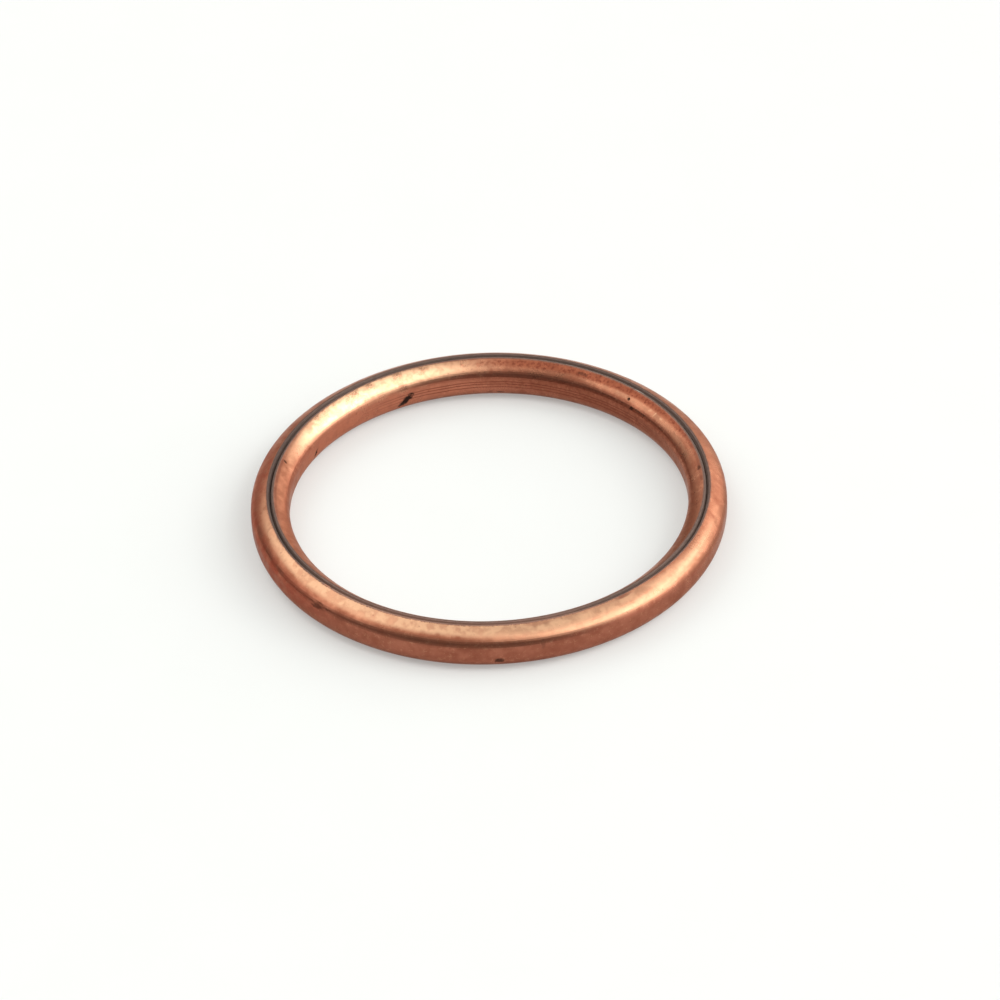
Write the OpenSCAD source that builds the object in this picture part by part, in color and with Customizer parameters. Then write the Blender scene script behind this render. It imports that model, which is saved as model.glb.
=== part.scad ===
// Folded copper exhaust gasket.
// One ring of thin copper sheet. Its two edges are folded up and over until
// they almost meet, so the section is hollow, with one open seam on top.
// The ring lies flat on its foot: Z = 0 is the foot, and the Z axis is the
// axis of the bore. All sizes are in millimetres and degrees.

/* [Ring] */
// Inside diameter, round the way through for the exhaust gas
inner_d = 36; // [20:0.5:80]
// Height of the uncrushed ring, from its foot to the crest of the seam
ring_h = 3.9; // [3.7:0.05:5]

/* [Sheet] */
// Thickness of the copper sheet
sheet_t = 0.4; // [0.25:0.05:0.5]

/* [Section] */
// Width of the folded section. The ring's outside diameter, which drops into
// the recess round the exhaust port, is the inside diameter and two of these.
section_w = 3.5; // [3:0.05:4]
// Width of the flat foot between the two lower bends
foot_w = 0.3; // [0.1:0.05:0.6]
// Outside radius of the two shoulder bends
shoulder_r = 1.15; // [0.8:0.05:1.25]
// Angle that the sheet turns through at each shoulder
shoulder_turn = 46; // [35:1:50]
// Slope at which the two sides of the roof would meet, measured from level
roof_slope = 23; // [18:1:30]

/* [Seam] */
// Gap between the two cut edges, at the sheet's inner face
seam_gap = 0.08; // [0.06:0.02:0.4]
// How far the seam lies from the middle of the section, towards the bore
seam_shift = 0.03; // [-0.03:0.01:0.03]
// Bevel along the upper corner of each cut edge, left by the shear
edge_bevel = 0.12; // [0.02:0.01:0.15]

/* [Hidden] */

// Smoothness of the curves on screen
$fn = 180;

// How far the roof lies under the shoulders' bends, so that the two curves
// cross at one clear point
roof_dip = 0.001;

// How far the seam's cut reaches past the sheet, on both sides
clear = 0.1;

// Half of the section's width, and the radius of the section's middle
half_w = section_w / 2;
mid_r = inner_d / 2 + half_w;

// The lower bends run from the foot into the upright walls
foot_bend_r = half_w - foot_w / 2;

// Each side of the roof is one gentle bend. It carries on from the shoulder
// and would reach the middle of the section at the slope of the roof.
shoulder_x = half_w - shoulder_r;
roof_start_x = shoulder_x + shoulder_r * cos(shoulder_turn);
roof_r = roof_start_x / (cos(shoulder_turn) - sin(roof_slope));
roof_x = roof_start_x - roof_r * cos(shoulder_turn);

// Each lip is cut square to the sheet, so the seam opens upwards as a V
outer_cut = lip_cut(seam_gap / 2 - seam_shift);
inner_cut = lip_cut(seam_gap / 2 + seam_shift);
bevel_angle = asin(edge_bevel / roof_r);

// The heights are counted down from the crest, on the higher of the lips
crest_rise = roof_r * sin(max(outer_cut, inner_cut) - bevel_angle);
roof_z = ring_h - crest_rise;
shoulder_z = roof_z + roof_dip + (roof_r - shoulder_r) * sin(shoulder_turn);

// The seam is cut from above the ridge where the two sides of the roof meet
seam_top = roof_z + roof_r * cos(roof_slope) + clear;

// Direction, seen from the roof's centre, of a lip whose inner corner is at x
function lip_cut(x) = acos((x - roof_x) / (roof_r - sheet_t));

// The unit vector in a direction
function toward(angle) = [cos(angle), sin(angle)];

// A point as it lies on the outer (1) or the inner (-1) side of the section
function on_side(side, point) = [side * point.x, point.y];

// Outline of one lip at the seam, from under the sheet to above it
function lip_outline(side, cut) = let (
        roof = [roof_x, roof_z],
        under = roof + (roof_r - sheet_t - clear) * toward(cut),
        face = roof + (roof_r - edge_bevel) * toward(cut),
        skin = roof + roof_r * toward(cut - bevel_angle),
        past = 2 * skin - face
    )
    [for (point = [under, face, past, [past.x, seam_top]]) on_side(side, point)];

// A list of points in the opposite order
function reversed(points) = [for (i = [len(points) - 1:-1:0]) points[i]];

// The lower outside quarter of a disc
module lower_quarter(r) {
    intersection() {
        circle(r);
        translate([0, -r])
            square(r);
    }
}

// One shoulder, with its foot bend and its wall, as a filled outline
module side_outline(inset) {
    translate([foot_w / 2, foot_bend_r])
        lower_quarter(foot_bend_r - inset);
    translate([0, inset])
        square([foot_w / 2, shoulder_z - inset]);
    translate([0, foot_bend_r])
        square([half_w - inset, shoulder_z - foot_bend_r]);
    translate([shoulder_x, shoulder_z])
        circle(shoulder_r - inset);
}

// Both sides of the roof, filled down to the foot bends
module roof_outline(inset) {
    reach = 2 * roof_r;
    shoulder = [shoulder_x, shoulder_z];
    tip = shoulder + reach * toward(shoulder_turn);
    intersection() {
        translate([roof_x, roof_z])
            circle(roof_r - inset);
        translate([-roof_x, roof_z])
            circle(roof_r - inset);
        polygon([
            [shoulder_x, foot_bend_r],
            shoulder,
            tip,
            on_side(-1, tip),
            on_side(-1, shoulder),
            [-shoulder_x, foot_bend_r]
        ]);
    }
}

// The section's outline, filled, and drawn in from the skin by an inset
module outline(inset) {
    side_outline(inset);
    mirror([1, 0])
        side_outline(inset);
    roof_outline(inset);
}

// The open seam, a V between the two cut edges with their bevels
module seam_opening() {
    polygon(concat(
        lip_outline(1, outer_cut),
        reversed(lip_outline(-1, inner_cut))
    ));
}

// The folded sheet, as it shows where the ring is sawn through
module sheet_section() {
    difference() {
        outline(0);
        outline(sheet_t);
        seam_opening();
    }
}

// The whole gasket: the section carried once round the bore
module folded_ring() {
    color("peru")
        rotate_extrude()
            translate([mid_r, 0])
                sheet_section();
}

folded_ring();
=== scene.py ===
# %% [markdown]
# # A folded copper exhaust gasket
# This gasket is a ring of thin copper sheet. A press rolls both edges of the sheet up and over until they
# almost touch, so the ring is hollow, with one open seam on top. Bolting up the exhaust crushes it.
# The part's solid model is loaded first and never changed. What follows adds what a solid model lacks:
# the small dents and marks of the real sheet, its finish, the floor, the light and the camera.

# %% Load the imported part
import math
import bpy
from mathutils import Matrix, Vector


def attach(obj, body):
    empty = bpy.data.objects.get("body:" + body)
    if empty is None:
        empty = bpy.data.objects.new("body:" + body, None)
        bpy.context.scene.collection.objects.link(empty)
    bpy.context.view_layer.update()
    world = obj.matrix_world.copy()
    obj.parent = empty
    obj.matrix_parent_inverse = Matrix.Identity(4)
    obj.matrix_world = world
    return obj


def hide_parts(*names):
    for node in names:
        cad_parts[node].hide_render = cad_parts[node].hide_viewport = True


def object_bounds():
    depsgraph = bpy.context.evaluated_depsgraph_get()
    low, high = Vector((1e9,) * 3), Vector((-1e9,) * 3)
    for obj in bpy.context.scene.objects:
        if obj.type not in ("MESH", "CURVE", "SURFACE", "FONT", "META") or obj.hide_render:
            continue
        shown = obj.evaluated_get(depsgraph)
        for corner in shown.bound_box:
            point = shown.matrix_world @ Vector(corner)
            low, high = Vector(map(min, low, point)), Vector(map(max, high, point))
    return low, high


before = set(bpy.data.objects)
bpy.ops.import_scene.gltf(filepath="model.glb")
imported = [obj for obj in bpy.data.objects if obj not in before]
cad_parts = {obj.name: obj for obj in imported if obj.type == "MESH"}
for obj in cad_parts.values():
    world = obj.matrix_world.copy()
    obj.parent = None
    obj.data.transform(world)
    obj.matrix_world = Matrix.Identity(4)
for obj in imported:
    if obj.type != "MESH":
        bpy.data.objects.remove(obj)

cad_low, cad_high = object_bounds()
MM = 0.001
print("solid model, mm:", [round(v / MM, 3) for v in (*cad_low, *cad_high)])

# %% [markdown]
# ## Sizes
# The outside radius and the height are read from the solid model, so the new skin can't drift away from it.
# The other sizes are those of the folding: each one is a length or an angle that a press tool would have.
# Only the gap at the bottom of the seam is narrower than in the solid, because the wider gap renders as a
# crisp black line, and the lips of the real ring almost touch.

# %% Sizes of the folded section
outer_r = cad_high.x
ring_h = cad_high.z
section_w = 3.5 * MM
sheet_t = 0.4 * MM
foot_w = 0.3 * MM
shoulder_r = 1.15 * MM
shoulder_turn = math.radians(46)
roof_slope = math.radians(23)
seam_gap = 0.04 * MM
seam_shift = 0.03 * MM
edge_bevel = 0.12 * MM

half_w = section_w / 2
mid_r = outer_r - half_w
foot_bend_r = half_w - foot_w / 2
print("middle of the section, mm from the axis:", round(mid_r / MM, 3))

# %% [markdown]
# ## The section of the folded sheet
# Each half of the section is a chain of lines and arcs: flat foot, foot bend, upright wall, shoulder, and a
# roof side that is one gentle bend. The lips are cut square to the sheet. The heights are counted down from
# the crest, because the crest is what touches the pipe.

# %% Where the bends lie
shoulder_x = half_w - shoulder_r
roof_start_x = shoulder_x + shoulder_r * math.cos(shoulder_turn)
roof_r = roof_start_x / (math.cos(shoulder_turn) - math.sin(roof_slope))
roof_x = roof_start_x - roof_r * math.cos(shoulder_turn)
outer_cut = math.acos((seam_gap / 2 - seam_shift - roof_x) / (roof_r - sheet_t))
inner_cut = math.acos((seam_gap / 2 + seam_shift - roof_x) / (roof_r - sheet_t))
bevel_angle = math.asin(edge_bevel / roof_r)
roof_z = ring_h - roof_r * math.sin(max(outer_cut, inner_cut) - bevel_angle)
shoulder_z = roof_z + (roof_r - shoulder_r) * math.sin(shoulder_turn)
print("upright wall, mm:", round((shoulder_z - foot_bend_r) / MM, 3))

# %% [markdown]
# An outline that is walked step by step is easy to sweep. One helper walks an arc and one walks a line.
# Each step is short where the photo shows detail, at the lips, and longer inside, where nothing shows.

# %% Walk along arcs and lines
SKIN_STEP = 0.17 * MM
LIP_STEP = 0.05 * MM
INSIDE_STEP = 0.35 * MM


def arc_points(centre, radius, start, end, step):
    count = max(1, round(abs(end - start) * radius / step))
    angles = [start + (end - start) * i / count for i in range(count)]
    return [(centre[0] + radius * math.cos(a), centre[1] + radius * math.sin(a)) for a in angles]


def line_points(start, end, step):
    count = max(1, round(math.dist(start, end) / step))
    shares = [i / count for i in range(count)]
    return [(start[0] + (end[0] - start[0]) * s, start[1] + (end[1] - start[1]) * s) for s in shares]

# %% [markdown]
# Both skins of the sheet have the same chain of bends, and the inner one is only drawn in by the sheet's
# thickness. So one function makes any quarter of the outline, from the middle of the foot up to the lip.

# %% One half of the section
def half_outline(cut, inset, step):
    """Points of one half, drawn in from the skin by an inset, and its last point at the lip."""
    end = cut - bevel_angle if inset == 0 else cut
    wall_x = half_w - inset
    points = line_points((0, inset), (foot_w / 2, inset), step)
    points += arc_points((foot_w / 2, foot_bend_r), foot_bend_r - inset, -math.pi / 2, 0, step)
    points += line_points((wall_x, foot_bend_r), (wall_x, shoulder_z), step)
    points += arc_points((shoulder_x, shoulder_z), shoulder_r - inset, 0, shoulder_turn, step)
    points += arc_points((roof_x, roof_z), roof_r - inset, shoulder_turn, end, step)
    return points + [on_roof(roof_r - inset, end)]


def on_roof(radius, angle):
    """A point on a circle round the centre of the roof's bend."""
    return (roof_x + radius * math.cos(angle), roof_z + radius * math.sin(angle))


def cut_face(cut):
    """Points across the cut edge, from the bevel down to the sheet's inner face, without the last."""
    return line_points(on_roof(roof_r - edge_bevel, cut), on_roof(roof_r - sheet_t, cut), LIP_STEP)


print("points across a cut edge:", len(cut_face(outer_cut)))

# %% [markdown]
# The whole outline starts inside the hollow, at the bottom, and ends there: up the inside to the outer lip,
# down the skin to the foot, up the skin on the bore's side, over the inner lip and back down the inside.
# Every point also says which zone it is in, because each zone gets a material of its own.

# %% The whole outline
ZONES = {"inside": 0, "edge": 1, "skin": 2}


def mirrored(points):
    return [(-x, z) for x, z in points]


def whole_outline():
    """A list of (x, z, zone) right round the section."""
    inside_outer = half_outline(outer_cut, sheet_t, INSIDE_STEP)
    inside_inner = mirrored(half_outline(inner_cut, sheet_t, INSIDE_STEP))
    skin_outer = half_outline(outer_cut, 0, SKIN_STEP)
    skin_inner = mirrored(half_outline(inner_cut, 0, SKIN_STEP))
    walk = [(p, "inside") for p in inside_outer[:-1]]
    walk += [(p, "edge") for p in [inside_outer[-1]] + cut_face(outer_cut)[::-1]]
    walk += [(p, "skin") for p in skin_outer[::-1] + skin_inner[1:-1]]
    walk += [(p, "edge") for p in [skin_inner[-1]] + mirrored(cut_face(inner_cut))]
    walk += [(p, "inside") for p in inside_inner[::-1]]
    return [(x, z, ZONES[zone]) for (x, z), zone in walk]


outline = whole_outline()
foot_index = min(range(len(outline)), key=lambda i: (outline[i][1], abs(outline[i][0])))
print("points in the outline:", len(outline))

# %% [markdown]
# Marks on the ring are placed by the angle round it and by the distance along its skin. That distance is
# counted from the middle of the foot, in millimetres: positive on the outside, negative on the bore's side.
# Two more values say how a point can move. The pull is the way the lip would go if the sheet had been cut
# a little longer. The lean is how far a point goes along when the seam leans aside, as it does in front.

# %% What each point of the outline knows
LIP_FADE = 0.5 * MM
LEAN_FULL = 0.35 * MM


def walked_lengths(points):
    lengths = [0.0]
    for (x0, z0, _), (x1, z1, _) in zip(points, points[1:]):
        lengths.append(lengths[-1] + math.dist((x0, z0), (x1, z1)))
    return lengths


def softened(share):
    """A share, kept from 0 to 1, with a soft start and end."""
    share = min(1, max(0, share))
    return share * share * (3 - 2 * share)


def lip_pull(x, z):
    """The sheet's own direction at its lip, fading out away from the lip."""
    side = 1 if x > 0 else -1
    cut = outer_cut if side > 0 else inner_cut
    angle = math.atan2(z - roof_z, side * x - roof_x)
    weight = 0 if z < shoulder_z else softened(1 - (cut - angle) * roof_r / LIP_FADE)
    return (-side * math.sin(cut) * weight, 0, math.cos(cut) * weight)


def lip_lean(x, z):
    """How much a point goes along when the seam leans: 0 up to the shoulders, 1 at the lips."""
    share = (roof_start_x - abs(x)) / (roof_start_x - LEAN_FULL)
    return softened(share) if z > shoulder_z else 0


walked = walked_lengths(outline)
along_values = [(walked[foot_index] - w) / MM for w in walked]
lip_along = [round(along_values[i], 2) for i in range(1, len(outline)) if outline[i][2] != outline[i - 1][2]]
outer_lip = lip_along[1]
inner_lip = lip_along[2]
print("the skin ends at its lips, mm along:", outer_lip, inner_lip)

# %% [markdown]
# The outline becomes a small mesh of its own, a line of points that the sweep can read, and each of the
# values above becomes an attribute on its points.

# %% The outline as a readable line
def build_section_line():
    mesh = bpy.data.meshes.new("section_line")
    edges = [(i, i + 1) for i in range(len(outline) - 1)]
    mesh.from_pydata([(x, 0, z) for x, z, _ in outline], edges, [])
    pulls = [number for x, z, _ in outline for number in lip_pull(x, z)]
    values = [
        ("along", "FLOAT", "value", along_values),
        ("zone", "INT", "value", [zone for _, _, zone in outline]),
        ("pull", "FLOAT_VECTOR", "vector", pulls),
        ("lean", "FLOAT", "value", [lip_lean(x, z) for x, z, _ in outline]),
    ]
    for name, data_type, field, numbers in values:
        mesh.attributes.new(name, data_type, "POINT").data.foreach_set(field, numbers)
    line = bpy.data.objects.new("section_line", mesh)
    bpy.context.scene.collection.objects.link(line)
    return line


section_line = build_section_line()
print("values on each point:", [a.name for a in section_line.data.attributes])

# %% [markdown]
# ## Small helpers for node trees
# Trees of nodes are easier to read in a script when a node and its inputs are one call. The helper makes a
# node, sets its options, and then fills each named input with a number or joins it to another node.

# %% Node helpers
def add_node(tree, kind, options=None, **inputs):
    """A new node. Inputs are given by name, with _ for a space, and take a value or another socket."""
    node = tree.nodes.new(kind)
    for name, value in (options or {}).items():
        setattr(node, name, value)
    for name, value in inputs.items():
        fill(tree, find_input(node, name), value)
    return node


def find_input(node, name):
    wanted = name.replace("_", " ").lower()
    return next(i for i in node.inputs if i.enabled and i.name.lower() == wanted)


def open_output(node):
    return next(o for o in node.outputs if o.enabled)


def fill(tree, socket, value):
    if isinstance(value, bpy.types.NodeSocket):
        tree.links.new(value, socket)
    else:
        socket.default_value = value


def new_group(name, kind, inputs, outputs):
    """A node group with named sockets. Returns the tree, its inputs by name and its output node."""
    tree = bpy.data.node_groups.new(name, kind)
    for socket_name, socket_type, default in inputs:
        socket = tree.interface.new_socket(socket_name, in_out="INPUT", socket_type=socket_type)
        if default is not None:
            socket.default_value = default
    for socket_name, socket_type in outputs:
        tree.interface.new_socket(socket_name, in_out="OUTPUT", socket_type=socket_type)
    source = tree.nodes.new("NodeGroupInput")
    return tree, source.outputs, tree.nodes.new("NodeGroupOutput")

# %% [markdown]
# The rest of the helpers are small sums and a noise. The most useful one is eased: it turns a value, such as
# a height or a noise, into a soft step between two levels, and most masks below are one or two of these. The
# noise has a fourth dimension, which is its seed, so that two noises of one size don't look alike.

# %% Sums in node trees
def math_node(tree, operation, *values):
    node = add_node(tree, "ShaderNodeMath", {"operation": operation})
    for socket, value in zip(node.inputs, values):
        fill(tree, socket, value)
    return node.outputs[0]


def vector_node(tree, operation, *values):
    node = add_node(tree, "ShaderNodeVectorMath", {"operation": operation})
    sockets = [i for i in node.inputs if i.enabled]
    for socket, value in zip(sockets, values):
        fill(tree, socket, value)
    return open_output(node)


def parts_of(tree, vector):
    """The X, Y and Z of a vector."""
    return add_node(tree, "ShaderNodeSeparateXYZ", Vector=vector).outputs


def weighted(tree, first, first_share, second, second_share):
    """The sum of two values, each times its share."""
    second = math_node(tree, "MULTIPLY", second, second_share)
    return math_node(tree, "MULTIPLY_ADD", first, first_share, second)


def eased(tree, value, start, end, low=0.0, high=1.0):
    """A smooth change from low to high while the value goes from start to end."""
    options = {"interpolation_type": "SMOOTHSTEP"}
    ends = {"From_Min": start, "From_Max": end, "To_Min": low, "To_Max": high}
    return add_node(tree, "ShaderNodeMapRange", options, Value=value, **ends).outputs[0]


def between(tree, value, rise, fall):
    """1 where a value lies between rise and fall, each a pair: where a soft change starts and ends."""
    return math_node(tree, "MULTIPLY", eased(tree, value, *rise), eased(tree, value, fall[1], fall[0]))


def noise_at(tree, place, size, detail, seed):
    """Noise from 0 to 1 with spots of about one size, in metres."""
    options = {"noise_dimensions": "4D"}
    scale = math_node(tree, "DIVIDE", 1.0, size)
    node = add_node(tree, "ShaderNodeTexNoise", options, Vector=place, W=seed, Scale=scale, Detail=detail)
    return node.outputs[0]


def centred(tree, noise, reach):
    """Noise from 0 to 1, made into a shift of up to the reach either way."""
    return math_node(tree, "MULTIPLY_ADD", noise, 2 * reach, -reach)

# %% [markdown]
# ## Marks that are placed one by one
# Most of the surface is random, but a few marks are not: the photographed ring has a dark slash in its bore,
# a nick, some pits and stains. Each one is an ellipse with a ragged outline, placed by its angle round the
# ring and its distance along the skin. The same small group of nodes makes the mask for the dents, which
# move the surface, and for the colours, so a dent and its stain can't drift apart.

# %% A group that makes one mark's mask
MM_PER_DEGREE = math.radians(mid_r / MM)

# Where a mark's mask starts and where it is full, as shares of the mark's half sizes
MARK_FADE = (1.35, 0.65)


def build_mark_group(kind):
    """A mask of 1 on the mark and 0 off it. Lengths are in millimetres and angles in degrees."""
    inputs = [
        ("Wrap", "NodeSocketVector", None),
        ("Angle", "NodeSocketFloat", 0.0),
        ("Along", "NodeSocketFloat", 0.0),
        ("Half Length", "NodeSocketFloat", 0.5),
        ("Half Width", "NodeSocketFloat", 0.2),
        ("Turn", "NodeSocketFloat", 0.0),
        ("Ragged", "NodeSocketFloat", 0.0),
    ]
    tree, given, out = new_group("placed_mark_" + kind[:6], kind, inputs, [("Mask", "NodeSocketFloat")])
    place = parts_of(tree, given["Wrap"])
    mark_around = math_node(tree, "MULTIPLY", given["Angle"], MM_PER_DEGREE)
    across = math_node(tree, "SUBTRACT", place["X"], mark_around)
    up = math_node(tree, "SUBTRACT", place["Y"], given["Along"])
    turn = math_node(tree, "RADIANS", given["Turn"])
    cosine = math_node(tree, "COSINE", turn)
    sine = math_node(tree, "SINE", turn)
    long_way = weighted(tree, up, sine, across, cosine)
    side_way = math_node(tree, "MULTIPLY", up, cosine)
    side_way = math_node(tree, "SUBTRACT", side_way, math_node(tree, "MULTIPLY", across, sine))
    long_share = math_node(tree, "DIVIDE", long_way, given["Half Length"])
    side_share = math_node(tree, "DIVIDE", side_way, given["Half Width"])
    squares = weighted(tree, long_share, long_share, side_share, side_share)
    reach = math_node(tree, "ADD", math_node(tree, "SQRT", squares), given["Ragged"])
    tree.links.new(eased(tree, reach, *MARK_FADE), out.inputs["Mask"])
    return tree


dent_mark = build_mark_group("GeometryNodeTree")
colour_mark = build_mark_group("ShaderNodeTree")
print("groups:", dent_mark.name, colour_mark.name)

# %% [markdown]
# The list says where each mark is, how big and how it lies, and how strongly it shows. A mark that is deep
# enough to change the shape has a depth too. Angles are in degrees and lengths in millimetres.

# %% The marks
def mark(angle, along, half_length, half_width, turn, strength, depth=0.0):
    place = {
        "Angle": angle,
        "Along": along,
        "Half_Length": half_length,
        "Half_Width": half_width,
        "Turn": turn,
    }
    return {"place": place, "strength": strength, "depth": depth}


DARK_MARKS = {
    "slash in the bore": mark(113.9, -2.5, 1.0, 0.31, 39, 1.0, 0.05),
    "nick in the bore": mark(149.9, -2.5, 0.46, 0.15, 50, 0.9, 0.06),
    "dent on the outside": mark(223.3, 3.82, 0.55, 0.24, 8, 0.5, 0.04),
    "spot at the foot, in front": mark(271.0, 2.28, 0.38, 0.27, 0, 0.75),
    "pit in the inner roof": mark(44.9, -4.53, 0.13, 0.11, 0, 0.9, 0.03),
    "stain under the pit": mark(42.7, -3.87, 0.24, 0.17, 20, 0.8),
    "pit near the seam, left": mark(164.2, -5.15, 0.2, 0.12, 60, 0.75),
    "streak on the outside": mark(281.6, 3.65, 0.42, 0.18, 85, 0.28),
    "spot near the seam, right": mark(5.7, -5.25, 0.32, 0.2, 0, 0.6),
    "speck low in the bore": mark(88.2, -2.0, 0.26, 0.08, 0, 0.7),
    "second speck low in the bore": mark(85.4, -1.9, 0.36, 0.08, 0, 0.7),
    "smudge at the back": mark(61.5, -5.1, 0.55, 0.14, 0, 0.4),
}
print("marks:", len(DARK_MARKS), "of which dents:", sum(1 for m in DARK_MARKS.values() if m["depth"] > 0))

# %% [markdown]
# Wear, tarnish and painted light cover wider areas. Hands and the next gasket in the box have rubbed the roof
# bare in places, and these bare patches also paint the roof's highlights, with a painted highlight streak and
# glints on the inner roof at the back right. Beside the seam the copper is darker, and at the left and at the
# back that is painted shade. One side has the red of copper that was once hot. Brown painted shade dims the
# roof low in front and on the right and the inner roof at the left, and the bore at the back left is painted
# lighter, as painted light. Each area uses the same mask as the small marks, only with softer ends.

# %% Worn areas, tarnish and painted light
# The bare copper colour paints rubbed copper, and on the roof it paints the highlights too
BARE_COPPER_AND_HIGHLIGHT = (0.87, 0.545, 0.325, 1)
# This copper is painted light, which makes the bore lighter at the back left
PAINTED_LIGHT_COPPER = (0.62, 0.22, 0.13, 1)
# This brown is painted shade, which dims parts of the roof
PAINTED_SHADE_BROWN = (0.25, 0.1, 0.055, 1)
RED_TARNISH = (0.34, 0.075, 0.042, 1)
# The darkest colour is a dark stain at the seam in front, is darker beside the seam at the right, and is
# painted shade beside the seam at the left and at the back
DARK_STAIN_AND_SHADE = (0.15, 0.05, 0.033, 1)

WEAR_AND_PAINTED_LIGHT = {
    # Rubbed roof that also paints the highlights on the roof
    "rubbed roof and painted highlight, front left": (mark(243, 5.32, 20, 0.66, 0, 0.6), BARE_COPPER_AND_HIGHLIGHT),
    "rubbed roof and painted highlight, front right": (mark(306, 4.75, 13, 0.7, 0, 0.42), BARE_COPPER_AND_HIGHLIGHT),
    "rubbed inner roof and painted highlight, back left": (mark(126, -4.82, 12, 1.04, 0, 0.8), BARE_COPPER_AND_HIGHLIGHT),
    # A painted highlight streak on the inner roof, with painted glints on it
    "painted highlight streak on the inner roof": (mark(36, -4.6, 8.5, 0.26, 0, 0.14), BARE_COPPER_AND_HIGHLIGHT),
    "bright spot on the streak": (mark(36.5, -4.7, 0.22, 0.1, 30, 0.35), BARE_COPPER_AND_HIGHLIGHT),
    "painted glint across the streak": (mark(34.3, -4.64, 0.26, 0.07, 75, 0.4), BARE_COPPER_AND_HIGHLIGHT),
    "second bright spot on the streak": (mark(31.4, -4.7, 0.2, 0.1, 8, 0.35), BARE_COPPER_AND_HIGHLIGHT),
    # Painted shade on the inner roof at the left
    "painted shade on the inner roof, left": (mark(174, -4.9, 6.5, 0.9, 0, 0.5), PAINTED_SHADE_BROWN),
    "outer wall, left": (mark(190, 3.4, 12, 1.2, 0, 0.85), RED_TARNISH),
    "outer roof, left": (mark(157, 4.9, 8, 0.9, 0, 0.6), RED_TARNISH),
    # Painted shade beside the seam at the left
    "painted shade beside the seam, left": (mark(172, -5.5, 8.5, 0.3, 0, 0.5), DARK_STAIN_AND_SHADE),
    # Painted shade low on the roof, on the right and in front
    "painted shade low on the roof, right": (mark(336, 4.15, 9, 0.5, 0, 0.55), PAINTED_SHADE_BROWN),
    "painted shade low on the roof, front": (mark(268, 4.1, 7, 0.45, 0, 0.35), PAINTED_SHADE_BROWN),
    # Painted light in the bore at the back left
    "painted light in the bore, back left": (mark(125, -2.8, 14, 1.3, 0, 0.5), PAINTED_LIGHT_COPPER),
    "beside the seam, right": (mark(8, -5.48, 6.5, 0.28, 0, 0.45), DARK_STAIN_AND_SHADE),
    "red patch at the seam, in front": (mark(281, 5.45, 1.3, 0.2, 0, 0.3), RED_TARNISH),
    "dark patch at the seam, front right": (mark(305.3, 5.48, 0.9, 0.16, 0, 0.5), DARK_STAIN_AND_SHADE),
    # Painted shade beside the seam at the back
    "painted shade beside the seam, back": (mark(84, -5.56, 8.5, 0.1, 0, 0.75), DARK_STAIN_AND_SHADE),
}
PATINAS = [mark(50, -5.33, 14.5, 0.5, 1.3, 0.85), mark(52, -3.2, 13, 0.85, 0, 0.42)]
print("worn and painted light areas:", len(WEAR_AND_PAINTED_LIGHT))

# %% [markdown]
# ## The ring, swept by Geometry Nodes
# The real ring is one section carried round an axis, which is what a sweep does. Spin or Curve to Mesh could
# do it too. A bent grid is used here, because it says exactly which grid line is which point of the section,
# so every face knows its zone and its place. One way along the grid follows the section, the other the ring.
# Each size below is an input of the tree, so it can be turned up or down without touching the nodes.

# %% Inputs of the sweep
SWEEP_INPUTS = [
    ("Section", "NodeSocketObject", None),
    ("Middle Radius", "NodeSocketFloat", mid_r),
    ("Steps Round", "NodeSocketInt", 900),
    ("Dent Size", "NodeSocketFloat", 2.6 * MM),
    ("Dent Depth", "NodeSocketFloat", 0.012 * MM),
    ("Lip Wander", "NodeSocketFloat", 0.03 * MM),
    ("Lip Wander Size", "NodeSocketFloat", 0.9 * MM),
    ("Seam Lean", "NodeSocketFloat", 0.22 * MM),
    ("Seed", "NodeSocketInt", 7),
    ("Skin Material", "NodeSocketMaterial", None),
    ("Edge Material", "NodeSocketMaterial", None),
    ("Inside Material", "NodeSocketMaterial", None),
]
print("inputs of the sweep:", len(SWEEP_INPUTS))

# %% [markdown]
# A sweep reads values from the section and keeps values on the ring. These helpers do that, and one of them
# lays a point of the flat section out into the ring's own direction.

# %% Values on the section and on the ring
def stored_value(tree, data_type, name):
    """An attribute that is already on the geometry."""
    return open_output(add_node(tree, "GeometryNodeInputNamedAttribute", {"data_type": data_type}, Name=name))


def section_value(tree, section, data_type, name, position):
    """One value of the section's line at a position in its list of points."""
    options = {"data_type": data_type}
    sample = add_node(tree, "GeometryNodeSampleIndex", options, Geometry=section, Index=position)
    tree.links.new(stored_value(tree, data_type, name), find_input(sample, "Value"))
    return open_output(sample)


def keep_attribute(tree, geometry, data_type, domain, name, value):
    options = {"data_type": data_type, "domain": domain}
    node = add_node(tree, "GeometryNodeStoreNamedAttribute", options, Geometry=geometry, Name=name)
    tree.links.new(value, find_input(node, "Value"))
    return node.outputs[0]


def on_domain(tree, data_type, domain, value):
    """A value as it is on one kind of element, such as a point or a face, whoever asks for it."""
    options = {"data_type": data_type, "domain": domain}
    return add_node(tree, "GeometryNodeFieldOnDomain", options, Value=value).outputs[0]


def turned_out(tree, point, radial, radius):
    """A point of the flat section, (x, 0, z), as it lies on the ring in the radial direction."""
    parts = parts_of(tree, point)
    outward = vector_node(tree, "SCALE", radial, math_node(tree, "ADD", parts["X"], radius))
    upward = add_node(tree, "ShaderNodeCombineXYZ", Z=parts["Z"]).outputs[0]
    return vector_node(tree, "ADD", outward, upward)

# %% [markdown]
# Baked textures need a second, flat layout in which nothing overlaps. A ring is far too long for a square
# picture, so it is cut into strips that lie side by side. The strip is chosen by the face, not by the
# corner, so that no face is torn between two strips.

# %% The flat layout for baked textures
UNWRAP_STRIPS = 2
LAYOUT_MARGIN = 0.01


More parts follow.
